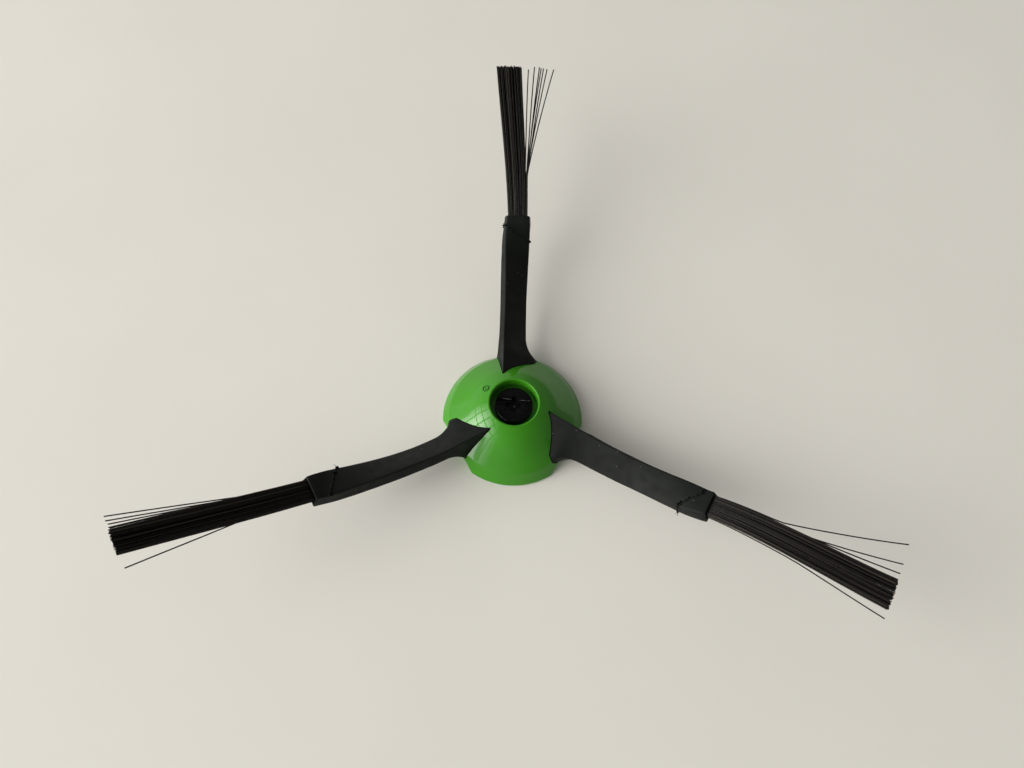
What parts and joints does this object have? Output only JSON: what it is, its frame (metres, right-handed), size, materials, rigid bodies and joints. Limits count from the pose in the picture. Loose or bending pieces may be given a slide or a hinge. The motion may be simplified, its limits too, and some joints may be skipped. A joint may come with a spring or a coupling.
{
  "type": "robot vacuum side brush",
  "caption": "Robot vacuum side brush: domed hub with a captive screw in a rimmed well, and soft twisted arms that curve up and end in bristle tufts.",
  "frame": {"origin": "on the axis of rotation, at the mouth of the drive socket, level with the hub's base", "axes": "+Z along the axis of rotation towards the screw head, +Y along the first arm"},
  "size_m": [0.1513, 0.1278, 0.0266],
  "materials": {
    "hub_plastic": "glossy moulded green plastic",
    "screw_black": "black oxide",
    "arm_rubber": "matt soft rubber",
    "bristle_nylon": "satin nylon filament"
  },
  "bodies": {
    "brush": {"hub": "hub_plastic", "arm_1": "arm_rubber", "arm_2": "arm_rubber", "arm_3": "arm_rubber", "tuft_1": "bristle_nylon", "tuft_2": "bristle_nylon", "tuft_3": "bristle_nylon"},
    "screw": {"captive_screw": "screw_black"}
  },
  "joints": [
    {"name": "screw_turn", "type": "hinge", "parent": "brush", "child": "screw", "pos_m": [0, 0, 0.007], "axis": [0, 0, 1], "continuous": true}
  ]
}
